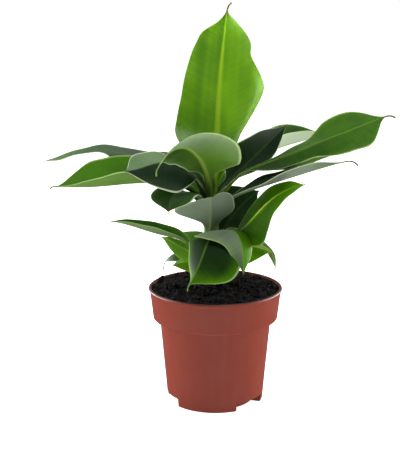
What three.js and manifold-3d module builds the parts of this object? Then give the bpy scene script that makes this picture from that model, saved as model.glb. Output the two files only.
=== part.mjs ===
// A young banana plant in a round nursery pot. Millimetres, +Z up, +X to the right, +Y to the back.
// The origin is the middle of the pot's flat underside.
//
// Every leaf is one closed solid: a grooved stalk that opens into a blade. It follows a midrib whose
// heading and climb (degrees) are given at evenly spaced places, and each of its two halves has its own
// width, lift (how far the half is raised above the flat), cup (the bend across it) and fold (a margin
// that turns up), also at evenly spaced places, from the blade's foot to its tip.
import * as THREE from "three";
import { mergeVertices } from "three/addons/utils/BufferGeometryUtils.js";
import Module from "manifold-3d";

const wasm = await Module();
wasm.setup();

// ---------------------------------------------------------------- driving dimensions

const GAP = 0.3; // the clearance that touching solids keep
const RADIANS = Math.PI / 180;

const POT = {
  height: 104.2,
  rimRadius: 60,
  lipHeight: 2.4,
  lipProud: 0.8,
  bandHeight: 27.6,
  bandFootRadius: 56,
  stepHeight: 1.6,
  neckRadius: 50,
  baseRadius: 43.2,
  wall: 1.5,
  floor: 1.8,
  sides: 56,
};

const NOTCH = {
  bearings: [-41.6, 78.4, 198.4],
  width: 45,
  height: 7.5,
  depth: 9,
  drainRadius: 3,
};

const SOIL = {
  edgeHeight: 100.8,
  middleHeight: 104,
  flatRadius: 13,
  bumpHeight: 0.7,
  bumpLength: 4.3,
  heapDepth: 3,
  rings: 5,
  sides: 32,
};

const STEM = {
  x: -4,
  height: 83,
  radii: [9.5, 7.4, 6.8, 6.4, 6.1, 5.8, 5.4, 4.4],
  sheathRidge: 0.35,
  sheathCount: 3,
  sheathTwist: 70,
  sides: 24,
  rings: 10,
};

const LEAF = {
  footInset: 1.2,
  stalkHalfWidth: 2.3,
  stalkLift: 48,
  stalkThickness: 2.2,
  stalkStations: 2,
  thicknessShare: 0.0105,
  leastThickness: 1.2,
  ribDepth: 1.2,
  tipHalfWidth: 0.7,
  inmostShare: 0.4,
  whiskerCurl: -50,
  whiskerStations: 2,
  foldSoftness: 0.24,
  plainShares: [0.5, 1],
  foldShares: [0.375, 0.583, 0.708, 1],
  walkSteps: 24,
  pathSteps: 120,
};

// From the top of the plant down. A foot is its height and its bearing round the stem.
const LEAVES = [
  {
    name: "leaf_spear", foot: [184, 30], stalk: 8, blade: 160, whisker: 9, stations: 16,
    heading: [60, 85, 80, 78, 75, 68, 62], climb: [84, 80, 76, 74, 72, 74, 78],
    left: {
      width: [9, 12, 16, 24, 33, 37, 36.5, 35.5, 34, 33, 32, 30.5, 28.5, 25.5, 21, 7, 0],
      lift: [60, 35, 8, 5, 5, 5, 10], cup: 20,
    },
    right: {
      width: [9, 12, 15, 19, 25, 29, 35, 40, 43, 43.5, 39, 33, 27.5, 27, 21, 11, 0],
      lift: [60, 35, 15, 10, 5, 5, 10], cup: 20,
      fold: [0, 40, 60, 50, 20, 0, 0, 0], foldAt: 0.8,
    },
  },
  {
    name: "leaf_hood", foot: [183, 250], stalk: 26, stalkHalf: 3.4, blade: 87, whisker: 8, stations: 10,
    heading: [262, 249, 243, 238, 231, 224], climb: [80, 64, 42, 22, -12, -52],
    left: {
      width: [7, 28, 36, 40, 41, 39, 35, 29, 22, 13, 0], lift: [20, 5, 14, 25, 35, 35], cup: -12,
    },
    right: { width: [4, 15, 17, 17, 14, 0], lift: [-20, -60, -70, -65, -45], cup: -50 },
  },
  {
    name: "leaf_front_left", foot: [180, 200], stalk: 26, stalkHalf: 4, blade: 87, stations: 9,
    heading: [200, 215, 225, 228, 225, 225], climb: [68, 57, 30, 6, -8, 2],
    left: { width: [6, 22, 28, 26, 15, 0], lift: [-10, -50, -60, -60, -50], cup: -20 },
    right: { width: [6, 20, 20, 18, 14, 0], lift: [10, 20, 22, 30, 30], cup: 10 },
  },
  {
    name: "leaf_far_left", foot: [184, 140], stalk: 40, blade: 156, stations: 11,
    heading: [125, 148, 150, 155, 162, 170], climb: [60, 23, -2, 6, -16, -14],
    left: {
      width: [5, 18, 22, 20, 12, 11, 9, 7, 0], lift: [-30, -50, -50, -35, -5, -5, -10, -12, 0], cup: -10,
    },
    right: { width: [5, 18, 20, 17, 13, 9, 0], lift: [10, 5, 5, 12, 12, 12], cup: 10 },
  },
  {
    name: "leaf_low_left", foot: [176, 164], stalk: 24, blade: 117, whisker: 8, stations: 11,
    heading: [186, 184, 182, 182, 183, 180], climb: [66, 20, 2, -6, -2, 4],
    left: { width: [5, 20, 23, 19, 10, 0], lift: [20, 35, 38, 30], cup: 10 },
    right: { width: [5, 18, 25, 28, 29, 29, 26, 15, 0], lift: [40, 50, 50, 48, 45], cup: 10 },
  },
  {
    name: "leaf_round_left", foot: [170, 212], stalk: 16, blade: 48, stations: 7,
    heading: [206, 206, 212, 222, 238, 255], climb: [66, 54, 34, 4, -46, -78],
    left: { width: [5, 19, 24, 24, 19, 0], lift: 0, cup: -20 },
    right: { width: [5, 19, 24, 24, 19, 0], lift: 0, cup: -20 },
  },
  {
    name: "leaf_big_right", foot: [172, -16], stalk: 40, blade: 136, whisker: 10, stations: 13,
    heading: [350, 353, 357, 358, 358, 358, 358], climb: [76, 50, 23, 22, 22, 22, 23],
    left: {
      width: [3, 9, 14, 17, 20, 27, 27, 18, 0], lift: [20, -5, 0, 5, 10, 24, 30, 28, 20], cup: 10,
    },
    right: {
      width: [3, 9, 18, 25, 27, 25, 23, 21, 0], lift: [20, -20, -45, -50, -50, -48, -45, -42, -40],
      fold: [0, 20, 60, 90, 90, 50, 10, 0, 0], foldAt: 0.65,
    },
  },
  {
    name: "leaf_dark_right", foot: [182, 30], stalk: 22, blade: 76, stations: 8,
    heading: [30, 30, 26, 25, 25, 25], climb: [66, 40, 36, 40, 40, 36],
    left: { width: [4, 20, 20, 17, 12, 0], lift: [20, 50, 40, 10] },
    right: { width: [4, 8, 12, 12, 7, 0], lift: [-20, -50, -60, -60], cup: -10 },
  },
  {
    name: "leaf_back_right", foot: [182, 80], stalk: 40, blade: 112, stations: 9,
    heading: [76, 52, 36, 28, 24, 24], climb: [60, 32, 10, 12, 10, 8],
    left: { width: [4, 9, 14, 28, 31, 19, 0], lift: [30, 20, 20, 30, 30], cup: 10 },
    right: { width: [4, 8, 11, 13, 12, 8, 0], lift: [20, 30, 60, 75, 70], cup: 10 },
  },
  {
    name: "leaf_narrow_right", foot: [168, -38], stalk: 28, blade: 105, whisker: 14, stations: 10,
    heading: [334, 332, 336, 340, 343, 345], climb: [66, 32, 21, 20, 19, 18],
    left: { width: [5, 14, 14, 12, 8, 0], lift: [30, 30, 20], cup: 10 },
    right: { width: [5, 13, 16, 14, 9, 0], lift: [8, 5, 22, 42, 42], cup: 20 },
  },
  {
    name: "leaf_bright_right", foot: [140, -25], stalk: 20, blade: 95, stations: 10,
    heading: [333, 328, 322, 321, 322, 324], climb: [34, 41, 47, 42, 28, 15],
    left: { width: [4, 14, 17, 14, 9, 0], lift: [40, 50, 50], cup: 10 },
    right: {
      width: [3, 19, 29, 24, 14, 10, 6, 0], lift: [-40, -66, -78, -72, -58, -48], cup: 5,
      fold: [0, 0, 25, 40, 25, 0, 0, 0], foldAt: 0.75,
    },
  },
  {
    name: "leaf_inner_right", foot: [150, 22], stalk: 12, blade: 44, stations: 7,
    heading: [18, 15, 12, 10, 8, 8], climb: [50, 52, 50, 45, 40, 35],
    left: { width: [6, 24, 26, 22, 12, 0], lift: [50, 60, 60], cup: 10 },
    right: { width: [6, 22, 24, 18, 10, 0], lift: [-20, -40, -40], cup: 10 },
  },
  {
    name: "leaf_front_fold", foot: [153, 265], stalk: 13, blade: 42, stations: 8,
    heading: [280, 275, 270, 268, 272, 280], climb: [56, 58, 60, 55, 40, 15],
    left: { width: [8, 21, 22, 20, 12, 0], lift: [25, 30, 30] },
    right: { width: [8, 30, 32, 24, 12, 0], lift: [12, 0, -8] },
  },
  {
    name: "leaf_droop_right", foot: [136, 38], stalk: 42, blade: 44, stations: 7,
    heading: [28, 30, 30, 28, 22, 15], climb: [32, 16, 0, -35, -65, -85],
    left: { width: [5, 11, 11, 8, 0], lift: -10 },
    right: { width: [5, 11, 11, 8, 0], lift: -10 },
  },
  {
    name: "leaf_front_arch", foot: [139, 300], stalk: 14, blade: 72, stations: 10,
    heading: [302, 306, 301, 295, 280, 270], climb: [42, 54, 15, -35, -65, -85],
    left: { width: [5, 15, 16, 11, 0], lift: [0, -30, -40], cup: -30 },
    right: { width: [8, 33, 31, 16, 9, 0], lift: [5, -4, -10, -20], cup: -22 },
  },
  {
    name: "leaf_small_right", foot: [132, 340], stalk: 15, blade: 42, stations: 6,
    heading: [340, 345, 340, 330, 325, 325], climb: [30, 30, 18, 4, -6, -10],
    left: { width: [5, 11, 10, 6, 0], lift: 0 },
    right: { width: [5, 17, 17, 10, 0], lift: [-30, -55, -60] },
  },
  {
    name: "leaf_front_bottom", foot: [130, 278], stalk: 13, blade: 84, whisker: 6, stations: 8,
    heading: [290, 274, 260, 248, 238, 222], climb: [74, 58, 8, -38, -50, -46],
    left: { width: [8, 24, 30, 34, 29, 0], lift: [-20, -20, -25, -38, -45], cup: -20 },
    right: { width: [8, 20, 21, 18, 12, 0], lift: -20, cup: -20 },
  },
  {
    name: "leaf_slender_left", foot: [126, 168], stalk: 20, blade: 77, stations: 8,
    heading: [168, 174, 182, 187, 190, 190], climb: [50, 45, 12, 18, 18, 8],
    left: { width: [4, 11, 12, 10, 6, 0], lift: [20, 34, 34] },
    right: { width: [4, 13, 13, 11, 6, 0], lift: [20, 35, 35] },
  },
  {
    name: "leaf_small_left", foot: [120, 212], stalk: 12, blade: 42, stations: 6,
    heading: [190, 198, 200, 200, 200, 202], climb: [64, 52, 38, 30, 34, 24],
    left: { width: [4, 12, 13, 9, 0], lift: -40 },
    right: { width: [4, 10, 10, 7, 0], lift: 25 },
  },
  {
    name: "leaf_dark_tip_left", foot: [122, 150], stalk: 12, blade: 36, whisker: 8, stations: 6,
    heading: [175, 166, 160, 158, 154, 145], climb: [48, 32, 14, -8, -38, -60],
    left: { width: [4, 9, 10, 7, 0], lift: -40 },
    right: { width: [4, 9, 9, 6, 0], lift: 0 },
  },
  {
    name: "leaf_bottom_left", foot: [115, 228], stalk: 12, blade: 29, stations: 6,
    heading: [212, 210, 208, 204, 207, 215], climb: [68, 54, 34, 8, -12, -5],
    left: { width: [4, 14, 13, 8, 0], lift: -40 },
    right: { width: [4, 10, 9, 6, 0], lift: 0 },
  },
  {
    name: "leaf_back_middle", foot: [162, 100], stalk: 25, blade: 100, stations: 9,
    heading: [95, 100, 100, 95, 90, 90], climb: [60, 45, 30, 15, 0, -20],
    left: { width: [5, 22, 26, 22, 12, 0], lift: 10 },
    right: { width: [5, 22, 26, 22, 12, 0], lift: 10 },
  },
  {
    name: "leaf_back_low", foot: [132, 70], stalk: 20, blade: 75, stations: 8,
    heading: [65, 60, 60, 65, 70, 70], climb: [50, 35, 20, 5, -10, -25],
    left: { width: [4, 17, 18, 14, 8, 0], lift: 10 },
    right: { width: [4, 17, 18, 14, 8, 0], lift: 10 },
  },
  {
    name: "leaf_back_small", foot: [122, 112], stalk: 16, blade: 58, stations: 7,
    heading: [120, 125, 128, 130, 132, 135], climb: [55, 40, 20, 0, -20, -40],
    left: { width: [4, 14, 15, 11, 6, 0], lift: 10 },
    right: { width: [4, 14, 15, 11, 6, 0], lift: 10 },
  },
];

const LOOKS = {
  pot: { color: 0x9c4632, roughness: 0.55, metalness: 0 },
  soil: { color: 0x1c1512, roughness: 1, metalness: 0 },
  stem: { color: 0x9aa860, roughness: 0.5, metalness: 0 },
  leaf: { color: 0x3f7a24, roughness: 0.4, metalness: 0 },
};

// ---------------------------------------------------------------- numbers

/** Value at share t (0 to 1) of a smooth curve through evenly spaced values. */
function along(values, t) {
  if (!Array.isArray(values)) return values;
  const last = values.length - 1;
  const place = THREE.MathUtils.clamp(t, 0, 1) * last;
  const i = Math.min(Math.floor(place), last - 1);
  const f = place - i;
  const [a, b] = [values[i], values[i + 1]];
  const before = values[Math.max(i - 1, 0)];
  const after = values[Math.min(i + 2, last)];
  const bend = 2 * before - 5 * a + 4 * b - after;
  const twist = 3 * a - before - 3 * b + after;
  return 0.5 * (2 * a + (b - before) * f + bend * f * f + twist * f * f * f);
}

function mix(a, b, share) {
  return a + (b - a) * share;
}

function polar(radius, bearing, z) {
  const angle = bearing * RADIANS;
  return new THREE.Vector3(radius * Math.cos(angle), radius * Math.sin(angle), z);
}

// ---------------------------------------------------------------- solids

/** A closed geometry as a solid that can be joined and cut. */
function solidOf(geometry) {
  const plain = geometry.clone();
  plain.deleteAttribute("normal");
  plain.deleteAttribute("uv");
  const merged = mergeVertices(plain, 1e-4);
  const corners = Array.from(merged.index.array);
  const triVerts = [];
  for (let i = 0; i < corners.length; i += 3) {
    const [a, b, c] = corners.slice(i, i + 3);
    if (a !== b && b !== c && c !== a) triVerts.push(a, b, c);
  }
  return new wasm.Manifold(
    new wasm.Mesh({
      numProp: 3,
      vertProperties: new Float32Array(merged.attributes.position.array),
      triVerts: new Uint32Array(triVerts),
    }),
  );
}

/** The largest body of a solid, without the scraps that a cut leaves. */
function largestBody(solid) {
  const bodies = solid.decompose();
  return bodies.reduce((best, body) => (body.volume() > best.volume() ? body : best));
}

/** A closed surface through rings of the same number of points, with flat ends. */
function loft(rings) {
  const count = rings[0].length;
  const positions = rings.flat().flatMap((point) => point.toArray());
  const index = [];
  for (let r = 0; r < rings.length - 1; r += 1) {
    for (let k = 0; k < count; k += 1) {
      const a = r * count + k;
      const b = r * count + ((k + 1) % count);
      index.push(a, b, b + count, a, b + count, a + count);
    }
  }
  const half = count / 2;
  const end = (rings.length - 1) * count;
  for (let k = 0; k < half - 1; k += 1) {
    const [a, b, c, d] = [k, k + 1, count - 2 - k, count - 1 - k];
    index.push(a, c, b, a, d, c);
    index.push(end + a, end + b, end + c, end + a, end + c, end + d);
  }
  const geometry = new THREE.BufferGeometry();
  geometry.setAttribute("position", new THREE.Float32BufferAttribute(positions, 3));
  geometry.setIndex(index);
  return geometry;
}

function turned(profile, sides) {
  const points = profile.map(([radius, z]) => new THREE.Vector2(radius, z));
  return new THREE.LatheGeometry(points, sides).rotateX(Math.PI / 2);
}

// ---------------------------------------------------------------- pot

/** Outer radius of the band below the pot's lip. */
function bandRadius(z) {
  const share = (z - POT.height + POT.bandHeight) / POT.bandHeight;
  return mix(POT.bandFootRadius, POT.rimRadius - POT.lipProud, share);
}

/** The pot's outline from its underside up through its step, drawn in by an inset. */
function potFoot(inset, z) {
  const bandFoot = POT.height - POT.bandHeight + inset * 0.8;
  return [
    [0, z],
    [POT.baseRadius - inset, z],
    [POT.neckRadius - inset, bandFoot - POT.stepHeight],
    [bandRadius(bandFoot) - inset, bandFoot],
  ];
}

/** A sector cut from the pot's foot, grown for the wall round it inside. */
function notch(bearing, grow) {
  const outer = POT.baseRadius + POT.wall * 4;
  const inner = POT.baseRadius - NOTCH.depth - grow;
  const spread = (NOTCH.width / 2) * RADIANS + grow / POT.baseRadius;
  const sector = new THREE.Shape();
  sector.absarc(0, 0, outer, -spread, spread, false);
  sector.absarc(0, 0, inner, spread, -spread, true);
  const block = new THREE.ExtrudeGeometry(sector, {
    depth: NOTCH.height + grow + 1,
    bevelEnabled: false,
    curveSegments: 8,
  });
  return solidOf(block.translate(0, 0, -1).rotateZ(bearing * RADIANS));
}

function notches(grow) {
  return NOTCH.bearings.map((bearing) => notch(bearing, grow)).reduce((sum, cut) => sum.add(cut));
}

/** The round drain hole in the roof of each notch. */
function drains() {
  const depth = NOTCH.height + POT.floor * 2;
  const radius = POT.baseRadius - NOTCH.depth / 2 - POT.wall;
  return NOTCH.bearings
    .map((bearing) => {
      const hole = new THREE.CylinderGeometry(NOTCH.drainRadius, NOTCH.drainRadius, depth, 16);
      const place = polar(radius, bearing, depth / 2 + 1);
      return solidOf(hole.rotateX(Math.PI / 2).translate(place.x, place.y, place.z));
    })
    .reduce((sum, hole) => sum.add(hole));
}

function potSolid() {
  const lipFoot = POT.height - POT.lipHeight;
  const lip = [
    [bandRadius(lipFoot - POT.lipProud), lipFoot - POT.lipProud],
    [bandRadius(lipFoot) + POT.lipProud, lipFoot],
    [POT.rimRadius, POT.height - POT.lipProud],
    [POT.rimRadius - POT.lipProud, POT.height],
    [0, POT.height],
  ];
  const above = POT.height + 1;
  const mouth = [[bandRadius(above) - POT.wall, above], [0, above]];
  const shell = solidOf(turned([...potFoot(0, 0), ...lip], POT.sides));
  const hollow = solidOf(turned([...potFoot(POT.wall, POT.floor), ...mouth], POT.sides));
  return shell.subtract(notches(0)).subtract(hollow.subtract(notches(POT.wall))).subtract(drains());
}

// ---------------------------------------------------------------- soil and stem

/** Height of the soil's uneven top, flat round the stem. */
function soilTop(x, y) {
  const fromStem = Math.hypot(x - STEM.x, y);
  const reach = POT.rimRadius - SOIL.flatRadius;
  const share = THREE.MathUtils.clamp((fromStem - SOIL.flatRadius) / reach, 0, 1);
  const waves = Math.sin(x / SOIL.bumpLength) * Math.cos((y + x / 2) / SOIL.bumpLength);
  const rise = Math.min(share * 8, 1);
  return mix(SOIL.middleHeight, SOIL.edgeHeight, share) + SOIL.bumpHeight * waves * rise;
}

/** Soil that fills the pot, from its floor to an uneven heap just under the lip. */
function soilSolid() {
  const inset = POT.wall + GAP;
  const heapFoot = SOIL.edgeHeight - SOIL.heapDepth;
  const edge = bandRadius(heapFoot) - inset;
  const profile = [...potFoot(inset, POT.floor + GAP), [edge, heapFoot]];
  for (let i = SOIL.rings; i >= 0; i -= 1) profile.push([(edge * i) / SOIL.rings, SOIL.edgeHeight]);
  const heap = turned(profile, SOIL.sides);
  const places = heap.attributes.position;
  for (let i = 0; i < places.count; i += 1) {
    if (places.getZ(i) > heapFoot + 1) places.setZ(i, soilTop(places.getX(i), places.getY(i)));
  }
  return solidOf(heap).subtract(notches(inset));
}

function stemRadius(z) {
  return along(STEM.radii, (z - SOIL.middleHeight) / STEM.height);
}

/** The false stem of rolled leaf sheaths, whose edges wind round it as low ridges. */
function stemSolid(grow = 0) {
  const rings = [];
  for (let r = 0; r <= STEM.rings; r += 1) {
    const share = r / STEM.rings;
    const z = mix(SOIL.middleHeight + GAP - grow, SOIL.middleHeight + STEM.height + grow, share);
    const ring = [];
    for (let k = 0; k < STEM.sides; k += 1) {
      const bearing = (k / STEM.sides) * 360;
      const turn = ((bearing + share * STEM.sheathTwist) * STEM.sheathCount) / 360;
      const ridge = STEM.sheathRidge * (turn - Math.floor(turn) - 0.5);
      const point = polar(stemRadius(z) + ridge + grow, bearing, z);
      ring.push(point.setX(point.x + STEM.x));
    }
    rings.push(ring);
  }
  return solidOf(loft(rings));
}

// ---------------------------------------------------------------- leaves

/** Forward, left and up directions of a midrib with this heading and climb. */
function directions(heading, climb) {
  const [h, c] = [heading * RADIANS, climb * RADIANS];
  const forward = new THREE.Vector3(Math.cos(c) * Math.cos(h), Math.cos(c) * Math.sin(h), Math.sin(c));
  const left = new THREE.Vector3(-Math.sin(h), Math.cos(h), 0);
  return { forward, left, up: forward.clone().cross(left) };
}

/** The leaf's midrib: where it is, and which way it faces, at a distance from its foot. */
class Midrib {
  constructor(leaf) {
    this.leaf = leaf;
    this.length = leaf.stalk + leaf.blade + (leaf.whisker ?? 0);
    this.step = this.length / LEAF.pathSteps;
    const [z, bearing] = leaf.foot;
    const foot = polar(stemRadius(z) - LEAF.footInset, bearing, z);
    this.points = [foot.setX(foot.x + STEM.x)];
    for (let i = 0; i < LEAF.pathSteps; i += 1) {
      const { forward } = this.facing((i + 0.5) * this.step);
      this.points.push(this.points[i].clone().addScaledVector(forward, this.step));
    }
  }

  facing(distance) {
    const { leaf } = this;
    const body = leaf.stalk + leaf.blade;
    const share = distance / body;
    const past = Math.max(0, distance - body) / (leaf.whisker || 1);
    const heading = along(leaf.heading, share) + past * LEAF.whiskerCurl;
    return directions(heading, along(leaf.climb, share) + past * LEAF.whiskerCurl);
  }

  at(distance) {
    const place = THREE.MathUtils.clamp(distance / this.step, 0, LEAF.pathSteps);
    const i = Math.min(Math.floor(place), LEAF.pathSteps - 1);
    return this.points[i].clone().lerp(this.points[i + 1], place - i);
  }
}

/** Sizes of one half of the leaf at a distance from its foot. */
function halfAt(leaf, side, distance) {
  const { width, lift, cup = 0, fold = 0, foldAt = 0.65 } = leaf[side];
  const t = (distance - leaf.stalk) / leaf.blade;
  const opened = THREE.MathUtils.smoothstep(distance, 0, leaf.stalk);
  const stalkHalf = leaf.stalkHalf ?? LEAF.stalkHalfWidth;
  return {
    width: Math.max(LEAF.tipHalfWidth, mix(stalkHalf, along(width, t), opened)),
    lift: mix(LEAF.stalkLift, along(lift, t), opened),
    cup: along(cup, t) * opened,
    fold: along(fold, t) * opened,
    foldAt,
  };
}

/** Places and slopes across a half, at these shares of its width: sideways, upwards, angle. */
function across(half, shares) {
  const places = [];
  const stride = 1 / LEAF.walkSteps;
  let [side, rise, angle] = [0, 0, 0];
  for (let i = 1; i <= LEAF.walkSteps; i += 1) {
    const share = (i - 0.5) * stride;
    const soft = LEAF.foldSoftness / 2;
    const folded = THREE.MathUtils.smoothstep(share, half.foldAt - soft, half.foldAt + soft);
    angle = (half.lift + half.cup * (share - 0.5) + half.fold * folded) * RADIANS;
    side += half.width * stride * Math.cos(angle);
    rise += half.width * stride * Math.sin(angle);
    if (shares.some((wanted) => Math.round(wanted * LEAF.walkSteps) === i)) {
      places.push([side, rise, angle]);
    }
  }
  return places;
}

/** One ring of points round the leaf: along its upper side from left to right, and back below. */
function ringAt(leaf, midrib, distance, grow) {
  const length = leaf.stalk + leaf.blade;
  const opened = THREE.MathUtils.smoothstep(distance, 0, leaf.stalk);
  const sheet = Math.max(LEAF.leastThickness, length * LEAF.thicknessShare);
  const thickness = mix(LEAF.stalkThickness, sheet, opened);
  const rib = LEAF.ribDepth * (1 - THREE.MathUtils.clamp(distance / length, 0, 1));
  const place = midrib.at(distance);
  const { left, up } = midrib.facing(distance);
  const point = (side, rise) => place.clone().addScaledVector(left, side).addScaledVector(up, rise);
  const [top, bottom] = [[point(0, grow)], [point(0, -thickness - rib - grow)]];
  for (const side of ["left", "right"]) {
    const sign = side === "left" ? 1 : -1;
    const half = halfAt(leaf, side, distance);
    half.width += grow;
    const folds = leaf.left.fold || leaf.right.fold;
    for (const [out, rise, angle] of across(half, folds ? LEAF.foldShares : LEAF.plainShares)) {
      const [alongSide, alongUp] = [-Math.sin(angle), Math.cos(angle)];
      const inmost = out * LEAF.inmostShare;
      const under = thickness + grow;
      const upper = point(sign * Math.max(inmost, out + grow * alongSide), rise + grow * alongUp);
      const lower = point(sign * Math.max(inmost, out - under * alongSide), rise - under * alongUp);
      if (sign > 0) {
        top.unshift(upper);
        bottom.push(lower);
      } else {
        top.push(upper);
        bottom.unshift(lower);
      }
    }
  }
  return [...top, ...bottom];
}

/** Distances from the foot at which the leaf has a ring of points. */
function stationsOf(leaf) {
  const stations = [];
  for (let i = 0; i < LEAF.stalkStations; i += 1) stations.push((leaf.stalk * i) / LEAF.stalkStations);
  for (let i = 0; i <= leaf.stations; i += 1) stations.push(leaf.stalk + (leaf.blade * i) / leaf.stations);
  const whisker = leaf.whisker ?? 0;
  for (let i = 1; whisker && i <= LEAF.whiskerStations; i += 1) {
    stations.push(leaf.stalk + leaf.blade + (whisker * i) / LEAF.whiskerStations);
  }
  return stations;
}

/** A leaf, or the space that its neighbours keep out of when it is grown by a gap. */
function leafSolid(leaf, grow = 0) {
  const midrib = new Midrib(leaf);
  const stations = stationsOf(leaf);
  const rings = stations.map((distance) => ringAt(leaf, midrib, distance, grow));
  rings[0].forEach((point) => point.addScaledVector(midrib.facing(0).forward, -grow));
  const tip = midrib.facing(midrib.length).forward;
  rings[rings.length - 1].forEach((point) => point.addScaledVector(tip, grow));
  return solidOf(loft(rings));
}

// ---------------------------------------------------------------- the plant

function meshOf(name, solid, look) {
  const { vertProperties, triVerts } = solid.getMesh();
  const geometry = new THREE.BufferGeometry();
  geometry.setAttribute("position", new THREE.Float32BufferAttribute(vertProperties, 3));
  geometry.setIndex(Array.from(triVerts));
  geometry.computeVertexNormals();
  const mesh = new THREE.Mesh(geometry, new THREE.MeshStandardMaterial(look));
  mesh.name = name;
  return mesh;
}

const group = new THREE.Group();
group.add(meshOf("pot", potSolid(), LOOKS.pot));
group.add(meshOf("soil", soilSolid(), LOOKS.soil));
group.add(meshOf("pseudostem", stemSolid(), LOOKS.stem));

let taken = stemSolid(GAP);
for (const leaf of LEAVES) {
  group.add(meshOf(leaf.name, largestBody(leafSolid(leaf).subtract(taken)), LOOKS.leaf));
  taken = taken.add(leafSolid(leaf, GAP));
}

export default group;
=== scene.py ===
"""A young banana plant in a round nursery pot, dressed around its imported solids.

Sizes are in millimetres and angles in degrees, unless a name says otherwise. A mesh comes out
in metres, with X to the right, Y to the back, Z up and the origin at the middle of the pot's
flat underside.
"""

import logging
import math
import random
from dataclasses import dataclass, field
from enum import Enum
from typing import Any, Callable, Mapping, Sequence, Union

import bmesh
import bpy
from mathutils import Euler, Matrix, Vector, noise


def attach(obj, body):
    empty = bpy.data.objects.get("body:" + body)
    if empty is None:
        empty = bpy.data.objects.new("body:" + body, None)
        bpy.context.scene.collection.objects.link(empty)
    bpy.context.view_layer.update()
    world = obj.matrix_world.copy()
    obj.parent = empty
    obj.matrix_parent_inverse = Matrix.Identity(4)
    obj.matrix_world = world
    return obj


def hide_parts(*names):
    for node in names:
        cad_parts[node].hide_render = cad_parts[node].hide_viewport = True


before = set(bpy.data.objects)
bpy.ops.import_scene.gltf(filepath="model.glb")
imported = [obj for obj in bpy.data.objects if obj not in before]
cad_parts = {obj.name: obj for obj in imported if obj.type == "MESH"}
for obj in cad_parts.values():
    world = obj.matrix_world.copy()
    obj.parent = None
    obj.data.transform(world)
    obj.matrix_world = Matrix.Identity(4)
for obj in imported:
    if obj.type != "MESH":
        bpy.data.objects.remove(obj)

log = logging.getLogger("banana_plant")

MM = 0.001
Curve = Union[float, tuple[float, ...]]
Triple = tuple[float, float, float]
Colour = Triple
Finish = bpy.types.Material
Piece = bpy.types.Object
Body = bmesh.types.BMesh


class Slot(Enum):
    """The part's material slots."""

    POT = "pot"
    SOIL = "soil"
    STEM = "stem"
    LEAF = "leaf"


# ---- numbers


def clamp(value: float, low: float = 0.0, high: float = 1.0) -> float:
    """The value, kept between low and high."""
    return max(low, min(high, value))


def mix(a: float, b: float, share: float) -> float:
    """The value at a share of the way from a to b."""
    return a + (b - a) * share


def ease(low: float, high: float, value: float) -> float:
    """A smooth step: 0 below low, 1 above high."""
    share = clamp((value - low) / (high - low))
    return share * share * (3 - 2 * share)


def along(values: Curve, share: float) -> float:
    """Value of a smooth curve through evenly spaced values.

    Args:
        values: One value, or the values at even places.
        share: The place along the curve, from 0 to 1.

    Returns:
        The curve's value there.
    """
    if not isinstance(values, tuple):
        return values
    last = len(values) - 1
    place = clamp(share) * last
    i = min(math.floor(place), last - 1)
    f = place - i
    a, b = values[i], values[i + 1]
    before, after = values[max(i - 1, 0)], values[min(i + 2, last)]
    bend = 2 * before - 5 * a + 4 * b - after
    twist = 3 * a - before - 3 * b + after
    return 0.5 * (2 * a + (b - before) * f + bend * f * f + twist * f * f * f)


def polar(radius: float, bearing: float, z: float) -> Vector:
    """The point at a radius and a bearing round the Z axis."""
    angle = math.radians(bearing)
    return Vector((radius * math.cos(angle), radius * math.sin(angle), z))


# ---- shader maths


def operator(operation: str, swapped: bool = False) -> Callable[["Signal", Any], "Signal"]:
    """A method that puts a signal and another value through a Math node, swapped if asked."""

    def combine(self: "Signal", other: Any) -> "Signal":
        """The operation's result."""
        pair = (other, self) if swapped else (self, other)
        return self.recipe.math(operation, *pair)

    return combine


@dataclass(frozen=True)
class Signal:
    """A socket of a node tree that Python's operators work on."""

    recipe: "Recipe"
    socket: bpy.types.NodeSocket

    __add__ = __radd__ = operator("ADD")
    __sub__ = operator("SUBTRACT")
    __rsub__ = operator("SUBTRACT", swapped=True)
    __mul__ = __rmul__ = operator("MULTIPLY")
    __truediv__ = operator("DIVIDE")

    def __abs__(self) -> "Signal":
        """This value without its sign."""
        return self.recipe.math("ABSOLUTE", self)

    def sine(self) -> "Signal":
        """The sine of this value in radians."""
        return self.recipe.math("SINE", self)

    def step(self, low: float, high: float) -> "Signal":
        """A smooth step of this value: 0 at low, 1 at high."""
        ranged = {"interpolation_type": "SMOOTHSTEP", "clamp": True}
        sockets = {"Value": self, "From Min": low, "From Max": high}
        return self.recipe.add("ShaderNodeMapRange", ranged, sockets)


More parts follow.
